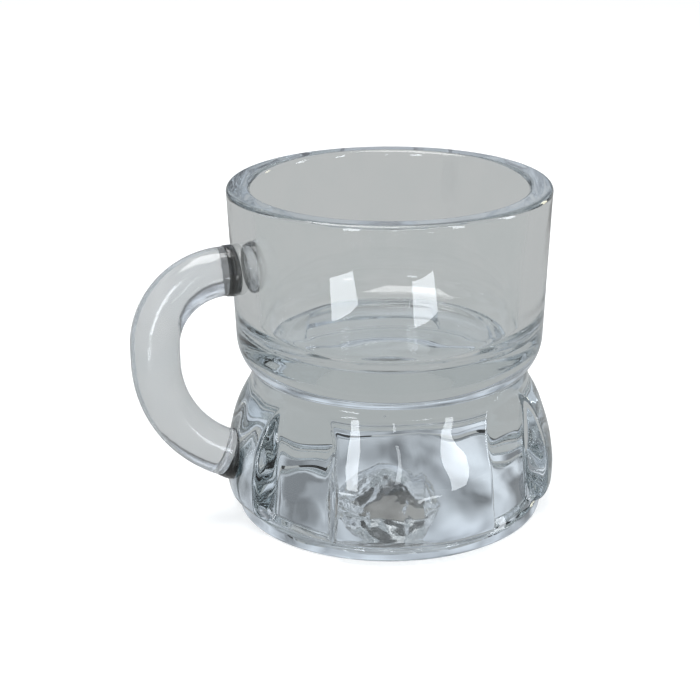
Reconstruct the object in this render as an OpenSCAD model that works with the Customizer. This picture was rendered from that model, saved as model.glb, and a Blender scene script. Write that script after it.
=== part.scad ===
// Pressed-glass shaving mug: a heavy cup on a solid bell-shaped foot with arched flutes, and
// a frosted rod handle that is fused on at two seams.
// The mug's axis is Z, the table is z = 0 and the handle points along -X.

/* [Cup] */
// Outer diameter of the rim
rim_d = 84; // [76:1:94]
// Overall height
height = 87.8; // [82:0.1:100]
// Thickness of the wall at the rim
wall = 6.2; // [4.5:0.1:7]
// Height of the cup's floor above the table
floor_z = 47.6; // [45:0.1:52]
// Radius between the cup's wall and its floor
floor_round = 8; // [4:0.5:10]

/* [Waist] */
// Height of the crease between the cup and the foot
waist_z = 39.5; // [38:0.1:42]
// Diameter at the crease
waist_d = 73.5; // [70:0.1:76]
// Radius of the cup's rounded shoulder above the crease
shoulder_round = 12.2; // [11:0.1:16]
// Diameter of the cup where the shoulder meets the wall
shoulder_d = 81; // [78:0.1:82]

/* [Foot] */
// Diameter of the foot ring
ring_d = 82.4; // [80:0.1:86]
// Height of the foot ring
ring_h = 3.4; // [2.5:0.1:5]
// Diameter of the foot's core just above the ring
core_d = 79.2; // [76:0.1:80]
// Diameter of the shallow dish in the underside
dish_d = 66; // [50:1:70]
// Depth of the shallow dish
dish_depth = 0.9; // [0.5:0.1:1.5]
// Radius of the domed hollow in the middle of the underside
punt_r = 9; // [6:0.5:12]

/* [Lobes] */
// Diameter over the foot's broad lobes where they stand out most
lobe_d = 89; // [86:0.5:91]
// Number of arched flutes between the lobes
flute_count = 4; // [3:1:5]
// Width of a flute
flute_w = 22.6; // [16:0.2:26]
// Angle from the handle to the first flute
flute_turn = 36.5; // [30:0.5:45]

/* [Handle] */
// Diameter of the handle's rod
rod_d = 12.6; // [11:0.1:14]
// Height of the rod's upper end
grip_top_z = 68.2; // [66:0.1:69]
// Radius of the upper bend
upper_bend = 18.6; // [18:0.1:20]
// Length of the straight stretch between the bends
grip_run = 4; // [2:0.5:5]
// Radius of the lower bend
lower_bend = 30; // [28:0.5:31]

/* [Hidden] */
$fn = 144;

rim_r = rim_d / 2;
mouth_r = rim_r - wall;
well_r = mouth_r - 1.4;
waist_r = waist_d / 2;
shoulder_r = shoulder_d / 2;
shoulder_rise = sqrt(pow(shoulder_round, 2) - pow(waist_r - shoulder_r + shoulder_round, 2));
shoulder_z = waist_z + shoulder_rise;
ring_r = ring_d / 2;
core_r = core_d / 2;
ledge_h = 2.4;
rim_edge = 1.3;
mouth_edge = 1.5;
ring_edge = 0.8;
past = 5;
lap = 1;

// The lobes' profile is an arc of this radius, widest at crest_z.
crest_round = 47;
crest_z = 10;
lobe_foot_z = 4.2;
lobe_foot_round = 3;
lobe_top_z = waist_z - 0.5;
// A flute's round top starts here, so that it ends just above the waist.
flute_spring = waist_z + 0.5 - flute_w / 2;

// The rod's centre line lies in the XZ plane: a bend from the level upper end, a short
// straight stretch, and a wider bend that turns in to the foot.
bend_x = 44;
grip_x = bend_x + upper_bend;
upper_c = [bend_x, grip_top_z - upper_bend];
lower_c = [grip_x - lower_bend, upper_c[1] - grip_run];
lower_turn = 65;
lower_end = lower_c + lower_bend * [cos(lower_turn), -sin(lower_turn)];
seam_d = rod_d + 0.6;
seam_run = 11;

glass = [0.80, 0.84, 0.85];
frosted = [0.87, 0.89, 0.90];
seam_glass = [0.42, 0.42, 0.41];

// Takes a convex corner at [x, z] off with a radius; out is the corner's direction.
module corner_cut(x, z, r, out) {
    difference() {
        translate([x, z])
            square(2 * r, center = true);
        translate([x - out[0] * r, z - out[1] * r])
            circle(r);
    }
}

// A tapered wall between two heights that ends below in a rounded bottom.
module rounded_cup(bottom_z, low_r, low_z, top_r, top_z, bend) {
    polygon([[0, low_z], [low_r, low_z], [top_r, top_z], [0, top_z]]);
    translate([0, bottom_z])
        square([low_r - bend, low_z - bottom_z + lap]);
    intersection() {
        translate([low_r - bend, low_z])
            circle(bend);
        translate([0, bottom_z])
            square([low_r, low_z - bottom_z + lap]);
    }
}

module core_outline() {
    polygon([
        [0, 0],
        [ring_r, 0],
        [ring_r, ring_h],
        [core_r, ring_h + ledge_h],
        [waist_r, waist_z],
        [0, waist_z]
    ]);
}

module body_outline() {
    difference() {
        union() {
            core_outline();
            rounded_cup(waist_z, shoulder_r, shoulder_z, rim_r, height, shoulder_round);
        }
        corner_cut(ring_r, 0, ring_edge, [1, -1]);
        corner_cut(rim_r, height, rim_edge, [1, 1]);
    }
}

module well_outline() {
    rounded_cup(floor_z, well_r, floor_z + floor_round, mouth_r, height, floor_round);
    translate([0, height - 0.01])
        square([mouth_r, past]);
    corner_cut(mouth_r, height, mouth_edge, [-1, 1]);
}

module lobe_outline() {
    difference() {
        intersection() {
            translate([lobe_d / 2 - crest_round, crest_z])
                circle(crest_round);
            translate([waist_r / 2, lobe_foot_z])
                square([lobe_d / 2, lobe_top_z - lobe_foot_z]);
        }
        corner_cut(lobe_d / 2, lobe_foot_z, lobe_foot_round, [1, -1]);
    }
}

// What a flute takes off the lobes: an arch, from the mug's axis outwards.
module flute() {
    rotate([90, 0, 90])
        linear_extrude(lobe_d)
            union() {
                translate([-flute_w / 2, 0])
                    square([flute_w, flute_spring]);
                translate([0, flute_spring])
                    circle(d = flute_w);
            }
}

module lobes() {
    difference() {
        rotate_extrude()
            lobe_outline();
        for (i = [0:flute_count - 1])
            rotate(180 + flute_turn + i * 360 / flute_count)
                flute();
    }
}

module mug_solid() {
    rotate_extrude()
        body_outline();
    lobes();
}

module mug_body() {
    color(glass)
        difference() {
            mug_solid();
            rotate_extrude()
                well_outline();
            translate([0, 0, -past])
                cylinder(h = past + dish_depth, d = dish_d);
            sphere(punt_r);
        }
}

// One bend of the rod, in the XZ plane, from one angle to another.
module rod_bend(centre, radius, from, to) {
    translate([centre[0], 0, centre[1]])
        rotate([90, 0, 0])
            rotate_extrude(angle = to - from, start = from)
                translate([radius, 0])
                    circle(d = rod_d);
}

module handle() {
    color(frosted)
        rotate(180) {
            rod_bend(upper_c, upper_bend, 0, 90);
            rod_bend(lower_c, lower_bend, -lower_turn, 0);
            translate([grip_x, 0, lower_c[1]])
                cylinder(h = grip_run, d = rod_d);
        }
}

// The fused glass between the rod's upper end and the wall of the cup.
module upper_joint() {
    color(seam_glass)
        difference() {
            translate([-bend_x, 0, grip_top_z])
                rotate([0, 90, 0])
                    cylinder(h = bend_x - mouth_r, d = seam_d);
            mug_solid();
        }
}

// The fused glass between the rod's lower end and the lobe behind it.
module lower_joint() {
    color(seam_glass)
        difference() {
            translate([-lower_end[0], 0, lower_end[1]])
                rotate([0, 180 - lower_turn, 0])
                    cylinder(h = seam_run, d = seam_d);
            mug_solid();
        }
}

mug_body();
handle();
upper_joint();
lower_joint();
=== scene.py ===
import math

import bpy
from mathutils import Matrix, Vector, noise


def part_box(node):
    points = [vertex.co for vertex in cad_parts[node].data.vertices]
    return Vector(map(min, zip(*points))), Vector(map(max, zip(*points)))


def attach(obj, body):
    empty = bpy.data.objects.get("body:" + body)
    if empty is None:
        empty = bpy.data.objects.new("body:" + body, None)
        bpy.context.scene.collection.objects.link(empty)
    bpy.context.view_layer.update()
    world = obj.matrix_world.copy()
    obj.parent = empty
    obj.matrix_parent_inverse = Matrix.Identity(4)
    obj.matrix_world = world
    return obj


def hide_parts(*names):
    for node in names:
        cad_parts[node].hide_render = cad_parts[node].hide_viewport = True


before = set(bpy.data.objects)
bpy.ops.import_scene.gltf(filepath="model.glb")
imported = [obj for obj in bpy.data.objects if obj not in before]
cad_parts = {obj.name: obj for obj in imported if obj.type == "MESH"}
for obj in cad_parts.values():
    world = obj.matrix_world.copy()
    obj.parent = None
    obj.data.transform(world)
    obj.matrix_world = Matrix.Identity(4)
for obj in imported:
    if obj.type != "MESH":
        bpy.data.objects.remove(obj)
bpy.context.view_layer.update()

BODY_LOW, BODY_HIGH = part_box("mug_body")

# One millimetre of the design: the body is 87.8 mm high. Sizes below are in these millimetres,
# and the stage's are in metres.
HEIGHT_MM = 87.8
MM = (BODY_HIGH[2] - BODY_LOW[2]) / HEIGHT_MM
RIM = 42

# ---------------------------------------------------------------- camera

CAMERA_SIDE = math.radians(-18)
CAMERA_RISE = math.radians(20.8)
CAMERA_AIM = Vector((0, 0, 0.9 * RIM * MM))
CAMERA_DISTANCE = 10 * RIM * MM
SENSOR = 36
LENS = 80.6
SHIFT_X = -0.0566
SHIFT_Y = 0.0204
# The direction from the mug's axis to the camera, as an angle round the axis.
FRONT = math.atan2(-math.cos(CAMERA_SIDE), math.sin(CAMERA_SIDE))


def make_camera():
    """The camera at the photograph's viewing angle, to one side of the mug and above it."""
    data = bpy.data.cameras.new("camera")
    data.sensor_width = SENSOR
    data.lens = LENS
    data.shift_x = SHIFT_X
    data.shift_y = SHIFT_Y
    camera = bpy.data.objects.new("camera", data)
    bpy.context.scene.collection.objects.link(camera)
    level = math.cos(CAMERA_RISE)
    away = Vector((level * math.cos(FRONT), level * math.sin(FRONT), math.sin(CAMERA_RISE)))
    camera.location = CAMERA_AIM + away * CAMERA_DISTANCE
    camera.rotation_euler = (-away).to_track_quat("-Z", "Y").to_euler()
    bpy.context.scene.camera = camera


make_camera()

# ---------------------------------------------------------------- body

RING_R = 41.2
RING_H = 3.4
RING_EDGE = 0.8
RING_TOP_EDGE = 0.5
LEDGE_H = 2.4
CORE_R = 39.6
WAIST_R = 36.75
WAIST_Z = 39.5
SHOULDER_R = 40.5
SHOULDER_BEND = 12.2
SHOULDER_Z = WAIST_Z + math.sqrt(SHOULDER_BEND ** 2 - (WAIST_R - SHOULDER_R + SHOULDER_BEND) ** 2)
WALL = 6.2
MOUTH_R = RIM - WALL
WELL_R = MOUTH_R - 1.4
FLOOR_Z = 47.6
FLOOR_BEND = 8
RIM_EDGE = 1.3
MOUTH_EDGE = 1.5
DISH_R = 33
DISH_DEPTH = 0.9
PUNT_R = 9

# The lobes: an arc round the foot, widest at CREST_Z and rounded in at its lower end.
LOBE_R = 44.5
CREST_BEND = 47
CREST_Z = 10
LOBE_FOOT_Z = 4.2
LOBE_FOOT_BEND = 3

# The flutes between them: half the width at the floor, the height of the round top, how steeply
# the sides rise, how softly they meet the lobe and the core, and how far they waver.
FLUTE_COUNT = 4
FLUTE_TURN = math.radians(180 + 36.5)
FLUTE_HALF = 9.8
FLUTE_ARCH = 12
FLUTE_TOP_Z = 39
FLANK_SLOPE = 1.5
EDGE_SOFT = 1.1
FLUTE_WAVER = 0.5
WAVER_SIZE = 7

# The mould's parting line stands out a little in the middle of two opposite lobes.
MOULD_LINE_PROUD = 0.1
MOULD_LINE_HALF = 0.35

# How far the pressed surfaces swell: shares of the radius in the punt, millimetres elsewhere.
# The swells are moved inwards by RIPPLE_BIAS, so that they mostly stay inside the design.
PUNT_ROUGH = 0.10
PUNT_ROUGH_SIZE = 2.2
PUNT_WARP = 0.12
PUNT_WARP_SIZE = 6
FOOT_RIPPLE = 0.35
FOOT_RIPPLE_SIZE = 9
CUP_RIPPLE = 0.06
CUP_RIPPLE_SIZE = 12
RIPPLE_BIAS = 0.6

# Slack for comparing heights and radii.
TINY = 0.01

# Air bubbles: side from the camera in degrees, distance from the axis, height and radius.
BUBBLES = [(-2, 33, 37, 0.3), (31, 36, 22, 0.2), (150, 35, 26, 0.25)]

# Columns of the body's grid, in degrees from a flute's middle: close together where the flute's
# side runs, wider elsewhere.
FINE_FROM = 13
FINE_TO = 20
FINE_STEPS = 20
COARSE_STEPS = 38
MIDDLE_STEPS = 11


def smooth_max(a, b, soft):
    """The larger of two values, blended where they are close."""
    h = max(soft - abs(a - b), 0) / soft
    return max(a, b) + h * h * soft / 4


def smooth_min(a, b, soft):
    """The smaller of two values, blended where they are close."""
    return -smooth_max(-a, -b, soft)


def column_angles():
    """The angles of the grid's columns, counted from the first flute's middle."""
    quarter = 360 / FLUTE_COUNT
    stops = [
        (0, FINE_FROM, MIDDLE_STEPS),
        (FINE_FROM, FINE_TO, FINE_STEPS),
        (FINE_TO, quarter - FINE_TO, COARSE_STEPS),
        (quarter - FINE_TO, quarter - FINE_FROM, FINE_STEPS),
        (quarter - FINE_FROM, quarter, MIDDLE_STEPS)
    ]
    angles = []
    for flute in range(FLUTE_COUNT):
        for start, end, steps in stops:
            for i in range(steps):
                angle = flute * quarter + start + (end - start) * i / steps
                angles.append(FLUTE_TURN + math.radians(angle))
    return angles


ANGLES = column_angles()
COLUMNS = len(ANGLES)


def crest_radius(z):
    """The lobes' outer radius at a height, and 0 below them."""
    r = LOBE_R - CREST_BEND + math.sqrt(max(CREST_BEND ** 2 - (z - CREST_Z) ** 2, 0))
    drop = LOBE_FOOT_Z + LOBE_FOOT_BEND - z
    if drop >= LOBE_FOOT_BEND:
        return 0
    if drop > 0:
        r -= LOBE_FOOT_BEND - math.sqrt(LOBE_FOOT_BEND ** 2 - drop ** 2)
    return r


def flute_half(z):
    """Half the width of a flute at a height: straight sides under a round arch."""
    spring = FLUTE_TOP_Z - FLUTE_ARCH
    if z < spring:
        return FLUTE_HALF
    rise = min((z - spring) / FLUTE_ARCH, 1)
    return FLUTE_HALF * math.sqrt(1 - rise ** 2)


def ripple(x, z, angle, size, seed):
    """A soft swell between about -1 and 1, the same on every run. The seed picks another one."""
    place = Vector((x * math.cos(angle), x * math.sin(angle), z)) / size
    return noise.noise(place + Vector((seed, 0, 0)))


def lobe_radius(core, z, angle):
    """The foot's radius: the core, with the lobes on it and the flutes between them."""
    step = 2 * math.pi / FLUTE_COUNT
    off = (angle - FLUTE_TURN + step / 2) % step - step / 2
    crest = crest_radius(z)
    across = abs(crest * math.sin(off))
    waver = FLUTE_WAVER * ripple(crest, z, angle, WAVER_SIZE, 11)
    flank = core + FLANK_SLOPE * (across - flute_half(z) - waver)
    lobe = smooth_min(crest, flank, EDGE_SOFT)
    r = smooth_max(core, lobe, EDGE_SOFT)
    from_line = ((angle - FLUTE_TURN) % math.pi - math.pi / 4) * r
    return r + MOULD_LINE_PROUD * math.exp(-(from_line / MOULD_LINE_HALF) ** 2)


def arc(cx, cz, r, start, end, steps):
    """Points of an arc in the profile plane, angles in degrees, both ends included."""
    points = []
    for i in range(steps + 1):
        a = math.radians(start + (end - start) * i / steps)
        points.append((cx + r * math.cos(a), cz + r * math.sin(a)))
    return points


def line(x0, z0, x1, z1, steps):
    """Evenly spaced points of a straight stretch, both ends included."""
    return [(x0 + (x1 - x0) * i / steps, z0 + (z1 - z0) * i / steps) for i in range(steps + 1)]


def body_profile():
    """The outline of the body from the middle of the underside, up the outside, over the rim and
    down to the middle of the cup's floor, as (radius, height) in millimetres. Neighbouring
    stretches stop a few tenths short of their corner, which smooth shading then rounds."""
    near = 0.3
    short = 0.6
    top_edge = RING_TOP_EDGE
    ledge_z = RING_H + LEDGE_H
    punt_end = math.degrees(math.asin(DISH_DEPTH / PUNT_R))
    points = arc(0, 0, PUNT_R, 90, punt_end, 24)
    points += line(points[-1][0] + near, DISH_DEPTH, DISH_R - short, DISH_DEPTH, 10)
    points += line(DISH_R, 0, RING_R - RING_EDGE, 0, 6)
    points += arc(RING_R - RING_EDGE, RING_EDGE, RING_EDGE, -80, 0, 5)
    points += line(RING_R, RING_EDGE + 0.4, RING_R, RING_H - top_edge, 4)
    points += arc(RING_R - top_edge, RING_H - top_edge, top_edge, 10, 50, 3)
    points += line(RING_R - short, RING_H + 0.5, CORE_R + near, ledge_z - near, 6)
    points += line(CORE_R, ledge_z + near, WAIST_R + 0.05, WAIST_Z - 0.7, 60)
    points += line(WAIST_R - 0.05, WAIST_Z - 0.2, WAIST_R + 0.25, WAIST_Z + 0.4, 2)
    shoulder_start = math.degrees(math.asin((WAIST_Z + 0.9 - SHOULDER_Z) / SHOULDER_BEND))
    points += arc(SHOULDER_R - SHOULDER_BEND, SHOULDER_Z, SHOULDER_BEND, shoulder_start, -4, 14)
    points += line(SHOULDER_R + 0.02, SHOULDER_Z + 0.5, RIM - 0.06, HEIGHT_MM - RIM_EDGE - 0.4, 24)
    points += arc(RIM - RIM_EDGE, HEIGHT_MM - RIM_EDGE, RIM_EDGE, 5, 90, 7)
    points += line(RIM - RIM_EDGE - short, HEIGHT_MM, MOUTH_R + MOUTH_EDGE + short, HEIGHT_MM, 3)
    points += arc(MOUTH_R + MOUTH_EDGE, HEIGHT_MM - MOUTH_EDGE, MOUTH_EDGE, 90, 175, 8)
    bottom_z = FLOOR_Z + FLOOR_BEND
    points += line(MOUTH_R - 0.03, HEIGHT_MM - MOUTH_EDGE - 0.8, WELL_R, bottom_z + 0.5, 22)
    points += arc(WELL_R - FLOOR_BEND, bottom_z, FLOOR_BEND, 0, -88, 14)
    points += line(WELL_R - FLOOR_BEND - 0.8, FLOOR_Z, 0, FLOOR_Z, 14)
    return points


def body_point(x, z, angle, outside):
    """The radius of a point of the outline once the lobes and the ripples are on it."""
    if z < DISH_DEPTH + TINY and not outside:
        return x
    if x < PUNT_R + TINY and z < PUNT_R + TINY:
        rough = PUNT_ROUGH * ripple(x, z, angle, PUNT_ROUGH_SIZE, 7)
        warp = PUNT_WARP * ripple(x, z, angle, PUNT_WARP_SIZE, 3)
        return x * (1 + rough + warp)
    if outside and z < WAIST_Z:
        r = lobe_radius(x, z, angle) if z > LOBE_FOOT_Z else x
        fade = min(z / RING_H, (WAIST_Z - z) / 3, 1)
        return r + fade * FOOT_RIPPLE * (ripple(x, z, angle, FOOT_RIPPLE_SIZE, 0) - RIPPLE_BIAS)
    return x + CUP_RIPPLE * (ripple(x, z, angle, CUP_RIPPLE_SIZE, 20) - RIPPLE_BIAS)


def make_body():
    """The body as a grid: the outline's points as rows, the angles round the axis as columns."""
    profile = body_profile()
    rim_row = max(range(len(profile)), key=lambda i: profile[i][1])
    verts = []
    faces = []
    rows = []
    for i, (x, z) in enumerate(profile):
        if x < TINY:
            rows.append([len(verts)] * COLUMNS)
            verts.append((0, 0, z * MM))
            continue
        outside = i < rim_row and x > CORE_R / 2 and z > 0
        row = []
        for angle in ANGLES:
            r = body_point(x, z, angle, outside) * MM
            row.append(len(verts))
            verts.append((r * math.cos(angle), r * math.sin(angle), z * MM))
        rows.append(row)
    for low, high in zip(rows, rows[1:]):
        for k in range(COLUMNS):
            n = (k + 1) % COLUMNS
            face = []
            for v in (low[k], low[n], high[n], high[k]):
                if v not in face:
                    face.append(v)
            if len(face) > 2:
                faces.append(face)
    for side, away, z, size in BUBBLES:
        angle = FRONT + math.radians(side)
        add_bubble(verts, faces, Vector((away * math.cos(angle), away * math.sin(angle), z)), size)
    return new_piece("glass_body", verts, faces)


def add_bubble(verts, faces, centre, size, rings=8, sides=14):
    """A round hollow in the glass, its faces turned inwards."""
    first = len(verts)
    for i in range(1, rings):
        tilt = math.pi * i / rings
        for k in range(sides):
            turn = 2 * math.pi * k / sides
            level = math.sin(tilt)
            point = Vector((level * math.cos(turn), level * math.sin(turn), math.cos(tilt)))
            verts.append((centre + point * size) * MM)
    top = len(verts)
    verts.append((centre + Vector((0, 0, size))) * MM)
    verts.append((centre - Vector((0, 0, size))) * MM)
    for k in range(sides):
        n = (k + 1) % sides
        for i in range(rings - 2):
            row = first + i * sides
            faces.append([row + k, row + n, row + sides + n, row + sides + k])
        last = first + (rings - 2) * sides
        faces.append([top, first + n, first + k])
        faces.append([top + 1, last + k, last + n])


def new_piece(name, verts, faces):
    """A smooth-shaded object in the scene, from its points and faces."""
    mesh = bpy.data.meshes.new(name)
    mesh.from_pydata(verts, [], faces)
    mesh.update()
    for polygon in mesh.polygons:
        polygon.use_smooth = True
    piece = bpy.data.objects.new(name, mesh)
    bpy.context.scene.collection.objects.link(piece)
    return piece


# ---------------------------------------------------------------- handle

ROD_R = 6.3
BEND_X = 44
TOP_Z = 68.2
UPPER_BEND = 18.6
GRIP_RUN = 4
LOWER_BEND = 30
LOWER_TURN = 65
# What is left between the rod's upper end and the cup's wall.
ROD_GAP = 0.15

COLLAR_R = 6.6
COLLAR_BORE = 6.0
COLLAR_ROUGH = 0.35
COLLAR_STEPS = 10
# The collar's length is found between 0 and this.
COLLAR_REACH = 12


def wall_radius(z):
    """The cup's outer radius above its shoulder."""
    return SHOULDER_R + (RIM - SHOULDER_R) * (z - SHOULDER_Z) / (HEIGHT_MM - SHOULDER_Z)


def surface_radius(z, angle):
    """The body's outer radius where the handle meets it, on the cup or on the foot."""
    if z > SHOULDER_Z:
        return wall_radius(z)
    base_z = RING_H + LEDGE_H
    core = CORE_R + (WAIST_R - CORE_R) * (z - base_z) / (WAIST_Z - base_z)
    return lobe_radius(core, z, angle)


def reach_surface(start, along):
    """How far a point goes along a direction before it meets the body."""
    near = 0
    far = COLLAR_REACH
    for _ in range(24):
        middle = (near + far) / 2
        point = start + along * middle
        angle = math.atan2(point.y, point.x)
        if point.xy.length > surface_radius(point.z, angle):
            near = middle
        else:
            far = middle
    return near


def make_collar(name, end, along, seed, sides=96):
    """A ragged fused ring between the rod's end and the body. The end and the direction towards
    the body are given as (distance from the axis, height)."""
    middle = Vector((-end[0], 0, end[1]))
    along = Vector((-along[0], 0, along[1]))
    out = Vector((along.z, 0, -along.x))
    verts = []
    for k in range(sides):
        t = 2 * math.pi * k / sides
        spoke = out * math.cos(t) + Vector((0, math.sin(t), 0))
        depth = reach_surface(middle + spoke * ROD_R, along)
        for i in range(COLLAR_STEPS + 1):
            share = i / COLLAR_STEPS
            place = spoke * 4 + Vector((0, 0, seed + 2.5 * share))
            rough = COLLAR_ROUGH * noise.noise(place)
            swell = math.sqrt(math.sin(math.pi * min(max(share, 0.04), 0.96)))
            r = ROD_R + (COLLAR_R - ROD_R + rough) * swell
            verts.append((middle + spoke * min(r, COLLAR_R) + along * depth * share) * MM)
        verts.append((middle + spoke * COLLAR_BORE + along * depth) * MM)
        verts.append((middle + spoke * COLLAR_BORE) * MM)
    count = COLLAR_STEPS + 3
    faces = []
    for k in range(sides):
        n = (k + 1) % sides
        for i in range(count):
            j = (i + 1) % count
            faces.append([k * count + i, n * count + i, n * count + j, k * count + j])
    return new_piece(name, verts, faces)


def rod_path():
    """The rod's centre line as (distance from the axis, height), from the upper end down."""
    grip_x = BEND_X + UPPER_BEND
    upper_z = TOP_Z - UPPER_BEND
    lower_z = upper_z - GRIP_RUN
    points = line(wall_radius(TOP_Z) + ROD_GAP, TOP_Z, BEND_X, TOP_Z, 4)
    points += arc(BEND_X, upper_z, UPPER_BEND, 90, 0, 60)[1:]
    points += line(grip_x, upper_z, grip_x, lower_z, 8)[1:]
    points += arc(grip_x - LOWER_BEND, lower_z, LOWER_BEND, 0, -LOWER_TURN, 60)[1:]
    return points


def make_rod(name, path, sides=96):
    """The handle's round rod along its centre line, with flat ends."""
    verts = []
    faces = []
    for i, (x, z) in enumerate(path):
        before = path[max(i - 1, 0)]
        after = path[min(i + 1, len(path) - 1)]
        along = Vector((after[0] - before[0], after[1] - before[1])).normalized()
        for k in range(sides):
            t = 2 * math.pi * k / sides
            reach = ROD_R * math.cos(t)
            px = x - along.y * reach
            pz = z + along.x * reach
            verts.append((-px * MM, ROD_R * math.sin(t) * MM, pz * MM))
    for i in range(len(path) - 1):
        for k in range(sides):
            n = (k + 1) % sides
            faces.append((i * sides + k, i * sides + n, (i + 1) * sides + n, (i + 1) * sides + k))
    faces.append(list(reversed(range(sides))))
    faces.append([(len(path) - 1) * sides + k for k in range(sides)])
    return new_piece(name, verts, faces)


# ---------------------------------------------------------------- materials

GLASS_IOR = 1.5
MOTTLE_SCALE = 90


def glass(name, color, tint, roughness, transmission=1, bump=0, grain=600):
    """Glass with a procedural mottle between a tint and its colour. With a bump, in metres, it
    also has a fine uneven surface of the given grain."""
    material = bpy.data.materials.new(name)
    material.use_nodes = True
    nodes = material.node_tree.nodes
    links = material.node_tree.links
    shader = nodes["Principled BSDF"]
    shader.inputs["IOR"].default_value = GLASS_IOR
    shader.inputs["Transmission Weight"].default_value = transmission
    shader.inputs["Roughness"].default_value = roughness
    place = nodes.new("ShaderNodeTexCoord")
    mottle = nodes.new("ShaderNodeTexNoise")
    mottle.inputs["Scale"].default_value = MOTTLE_SCALE
    mottle.inputs["Detail"].default_value = 3
    links.new(place.outputs["Object"], mottle.inputs["Vector"])
    colors = nodes.new("ShaderNodeValToRGB")
    fill_ramp(colors.color_ramp, [(0.35, tint), (0.6, color)])
    links.new(mottle.outputs["Fac"], colors.inputs["Fac"])
    links.new(colors.outputs["Color"], shader.inputs["Base Color"])
    if bump:
        skin = nodes.new("ShaderNodeTexNoise")
        skin.inputs["Scale"].default_value = grain
        skin.inputs["Detail"].default_value = 2
        links.new(place.outputs["Object"], skin.inputs["Vector"])
        raised = nodes.new("ShaderNodeBump")
        raised.inputs["Strength"].default_value = 1
        raised.inputs["Distance"].default_value = bump
        links.new(skin.outputs["Fac"], raised.inputs["Height"])
        links.new(raised.outputs["Normal"], shader.inputs["Normal"])
    return material


def thicken(material, color, density):
    """Darkens and tints long ways through the glass, as in the rim and the foot."""
    nodes = material.node_tree.nodes
    soak = nodes.new("ShaderNodeVolumeAbsorption")
    soak.inputs["Color"].default_value = (*color, 1)
    soak.inputs["Density"].default_value = density
    material.node_tree.links.new(soak.outputs["Volume"], nodes["Material Output"].inputs["Volume"])


def fill_ramp(ramp, stops):
    """Sets a colour ramp's stops, given as (position, (red, green, blue))."""
    ramp.elements[0].position = stops[0][0]
    ramp.elements[0].color = (*stops[0][1], 1)
    ramp.elements[1].position = stops[-1][0]
    ramp.elements[1].color = (*stops[-1][1], 1)
    for position, color in stops[1:-1]:
        ramp.elements.new(position).color = (*color, 1)


def make_clear_glass():
    """The body: clear, polished, faintly blue-grey where it is thick."""
    material = glass("clear_glass", (0.985, 0.995, 0.995), (0.955, 0.975, 0.975), roughness=0)
    thicken(material, (0.50, 0.60, 0.63), 5.5)
    return material


def make_broken_glass_painted_shade():
    """The hollow in the underside: rough, and coloured dark grey as painted shade of the shadowed
    table under the mug that shows through it.
    """
    color = (0.50, 0.49, 0.48)
    tint = (0.10, 0.095, 0.09)
    return glass("broken_glass_painted_shade", color, tint, roughness=0.18, bump=0.0004, grain=420)


def make_frosted_glass():
    """The handle: a satin surface over clear glass."""
    color = (0.985, 0.995, 1.0)
    tint = (0.92, 0.95, 0.96)
    return glass("frosted_glass", color, tint, roughness=0.13, transmission=0.88, bump=0.00006)


def make_seam_glass_painted_shade():
    """The fused joints: uneven, and coloured dark grey as painted shade of the dark that refraction
    makes where the rod meets the body.
    """
    color = (0.26, 0.26, 0.25)
    tint = (0.04, 0.04, 0.038)
    return glass("seam_glass", color, tint, roughness=0.12, bump=0.0002, grain=500)


def mark_punt(body):
    """Gives the faces of the hollow in the underside the body's second material."""
    reach = (PUNT_R + 1) * MM
    for polygon in body.data.polygons:
        middle = polygon.center
        if DISH_DEPTH * MM < middle.z < reach and middle.xy.length < reach:
            polygon.material_index = 1


# ---------------------------------------------------------------- the mug's pieces

body = make_body()
body.data.materials.append(make_clear_glass())
# The hollow's rough glass is coloured dark grey as painted shade.
body.data.materials.append(make_broken_glass_painted_shade())
mark_punt(body)
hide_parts("mug_body")
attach(body, "root")

path = rod_path()
handle = make_rod("rod_handle", path)
handle.data.materials.append(make_frosted_glass())
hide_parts("handle")
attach(handle, "root")

# The joints' glass is coloured dark grey as painted shade of the refraction there.
seam_glass = make_seam_glass_painted_shade()
turn = math.radians(LOWER_TURN)
# The fused joints: the rod's end, the direction from it to the body, and the seed of its edge.
collars = [
    ("upper_joint", (BEND_X, TOP_Z), (-1, 0), 5),
    ("lower_joint", path[-1], (-math.sin(turn), -math.cos(turn)), 9)
]
for node, end, along, seed in collars:
    collar = make_collar(node + "_seam", end, along, seed)
    collar.data.materials.append(seam_glass)
    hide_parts(node)
    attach(collar, "root")

# ---------------------------------------------------------------- stage and light

FLOOR_SIZE = 6
# The floor lies this little under the glass, so that the two faces don't coincide.
FLOOR_GAP = 0.0001
# The floor is one plain pale grey. To the camera it also glows, which brings it up to white.
FLOOR_GREY = (0.50, 0.51, 0.51, 1)
FLOOR_GLOW = 0.60
WHITE = (1, 1, 1, 1)

# What the glass sees of the room, by the sine of the height over the horizon, and the least and
# greatest brightness of the mottle over it.
ROOM = [
    (0.00, (0.03, 0.03, 0.03)),
    (0.04, (0.04, 0.04, 0.04)),
    (0.08, (0.38, 0.41, 0.46)),
    (0.22, (0.56, 0.60, 0.67)),
    (0.40, (0.54, 0.57, 0.62)),
    (0.62, (0.62, 0.65, 0.70)),
    (0.85, (0.35, 0.36, 0.38)),
    (1.00, (0.85, 0.87, 0.90))
]
ROOM_DIM = 0.42
ROOM_BRIGHT = 1.55
ROOM_MOTTLE_SCALE = 4.2

WINDOW_COLOR = (0.90, 0.95, 1.0)
WARM_COLOR = (1.0, 0.95, 0.72)
WINDOW_AWAY = 0.4
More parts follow.
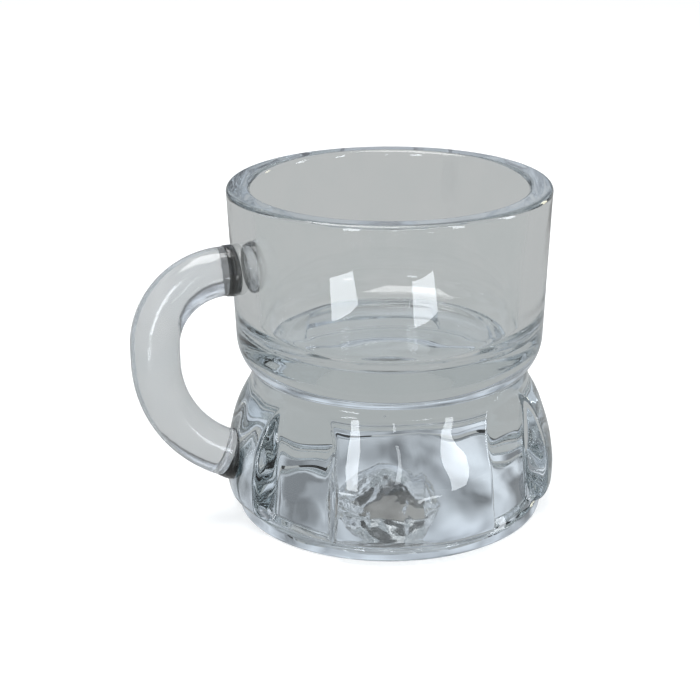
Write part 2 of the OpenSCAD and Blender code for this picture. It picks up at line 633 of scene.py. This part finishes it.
# Strip lights: side from the camera in degrees, width, lowest and highest point, glow and colour.
WINDOWS = [
    ("window_left", -24, 0.07, 0.0, 0.33, 10, WINDOW_COLOR),
    ("window_middle", 3, 0.02, 0.05, 0.24, 6, WINDOW_COLOR),
    ("window_right", 45, 0.06, 0.0, 0.36, 9, WINDOW_COLOR),
    ("window_far_right", 85, 0.06, 0.02, 0.34, 9, WINDOW_COLOR),
    ("window_warm", 128, 0.05, 0.03, 0.2, 5, WARM_COLOR)
]

PATCH_AWAY = 0.205
PATCH_LIFT = 0.002
PATCH_SKEW = -14
PATCH_GLOW = 9
# Lamps lying on the table: side from the camera in degrees, width and depth.
PATCHES = [
    ("patch_left", -30, 0.06, 0.038),
    ("patch_right", 22, 0.055, 0.040)
]

OVERHEAD_SIZE = 0.7
OVERHEAD_PLACE = (-0.15, 0.1, 1.1)
OVERHEAD_TARGET = (0, 0, 0.04)
OVERHEAD_POWER = 10


def camera_sees(nodes, links, seen, unseen, output):
    """Shows one shader to the camera and another one to everything else."""
    ray = nodes.new("ShaderNodeLightPath")
    mix = nodes.new("ShaderNodeMixShader")
    links.new(ray.outputs["Is Camera Ray"], mix.inputs["Fac"])
    links.new(unseen.outputs[0], mix.inputs[1])
    links.new(seen.outputs[0], mix.inputs[2])
    links.new(mix.outputs["Shader"], output.inputs["Surface"])


def room_mottle(nodes, links, vector):
    """A soft mottle in the room's brightness, over the directions that the glass looks in."""
    texture = nodes.new("ShaderNodeTexNoise")
    texture.inputs["Scale"].default_value = ROOM_MOTTLE_SCALE
    texture.inputs["Detail"].default_value = 2
    links.new(vector, texture.inputs["Vector"])
    spread = nodes.new("ShaderNodeMapRange")
    spread.inputs["From Min"].default_value = 0.35
    spread.inputs["From Max"].default_value = 0.65
    spread.inputs["To Min"].default_value = ROOM_DIM
    spread.inputs["To Max"].default_value = ROOM_BRIGHT
    links.new(texture.outputs["Fac"], spread.inputs["Value"])
    return spread.outputs["Result"]


def make_floor():
    """A plain pale floor, white to the camera and grey in the glass."""
    half = FLOOR_SIZE / 2
    low = -FLOOR_GAP
    verts = [(-half, -half, low), (half, -half, low), (half, half, low), (-half, half, low)]
    floor = new_piece("floor", verts, [(0, 1, 2, 3)])
    material = bpy.data.materials.new("floor_paper")
    material.use_nodes = True
    nodes = material.node_tree.nodes
    links = material.node_tree.links
    nodes.remove(nodes["Principled BSDF"])
    paper = nodes.new("ShaderNodeBsdfDiffuse")
    paper.inputs["Color"].default_value = FLOOR_GREY
    glow = nodes.new("ShaderNodeEmission")
    glow.inputs["Strength"].default_value = FLOOR_GLOW
    lit = nodes.new("ShaderNodeAddShader")
    links.new(paper.outputs[0], lit.inputs[0])
    links.new(glow.outputs[0], lit.inputs[1])
    dim = nodes.new("ShaderNodeEmission")
    dim.inputs["Color"].default_value = FLOOR_GREY
    camera_sees(nodes, links, lit, dim, nodes["Material Output"])
    floor.data.materials.append(material)


def make_world():
    """A white background for the camera, and a graded grey room for everything else."""
    world = bpy.data.worlds.new("studio")
    bpy.context.scene.world = world
    world.use_nodes = True
    nodes = world.node_tree.nodes
    links = world.node_tree.links
    dim = nodes["Background"]
    place = nodes.new("ShaderNodeTexCoord")
    split = nodes.new("ShaderNodeSeparateXYZ")
    links.new(place.outputs["Generated"], split.inputs[0])
    ramp = nodes.new("ShaderNodeValToRGB")
    fill_ramp(ramp.color_ramp, ROOM)
    links.new(split.outputs["Z"], ramp.inputs["Fac"])
    links.new(ramp.outputs["Color"], dim.inputs["Color"])
    brightness = room_mottle(nodes, links, place.outputs["Generated"])
    links.new(brightness, dim.inputs["Strength"])
    white = nodes.new("ShaderNodeBackground")
    white.inputs["Color"].default_value = WHITE
    camera_sees(nodes, links, white, dim, nodes["World Output"])


def round_mug(side, distance, height):
    """A place round the mug, its side counted in degrees from straight towards the camera."""
    angle = FRONT + math.radians(side)
    return (distance * math.cos(angle), distance * math.sin(angle), height)


def make_area(name, size_x, size_y, place, target, power):
    """A rectangular lamp that the camera doesn't see, directly or through the glass."""
    data = bpy.data.lights.new(name, "AREA")
    data.shape = "RECTANGLE"
    data.size = size_x
    data.size_y = size_y
    data.energy = power
    lamp = bpy.data.objects.new(name, data)
    lamp.location = place
    lamp.rotation_euler = (Vector(target) - Vector(place)).to_track_quat("-Z", "Y").to_euler()
    lamp.visible_camera = False
    lamp.visible_transmission = False
    bpy.context.scene.collection.objects.link(lamp)
    return lamp


def make_window(name, side, width, low, high, glow, color):
    """A tall lit strip that the glass mirrors."""
    middle = (low + high) / 2
    height = high - low
    power = glow * width * height * math.pi
    place = round_mug(side, WINDOW_AWAY, middle)
    lamp = make_area(name, width, height, place, (0, 0, middle), power)
    lamp.data.color = color


def make_patch(name, side, width, depth):
    """A lamp lying on the table, shining up, that the cup's wall mirrors."""
    place = Vector(round_mug(side, PATCH_AWAY, PATCH_LIFT))
    power = PATCH_GLOW * width * depth * math.pi
    lamp = make_area(name, width, depth, place, place + Vector((0, 0, 1)), power)
    lamp.rotation_euler = (math.pi, 0, FRONT + math.radians(side + 90 + PATCH_SKEW))
    lamp.data.color = WINDOW_COLOR


make_floor()
make_world()
make_area("overhead", OVERHEAD_SIZE, OVERHEAD_SIZE, OVERHEAD_PLACE, OVERHEAD_TARGET, OVERHEAD_POWER)
for window in WINDOWS:
    make_window(*window)
for patch in PATCHES:
    make_patch(*patch)

scene = bpy.context.scene
scene.view_settings.view_transform = "Standard"
scene.cycles.max_bounces = 24
scene.cycles.transmission_bounces = 24
scene.cycles.glossy_bounces = 12
scene.cycles.transparent_max_bounces = 16
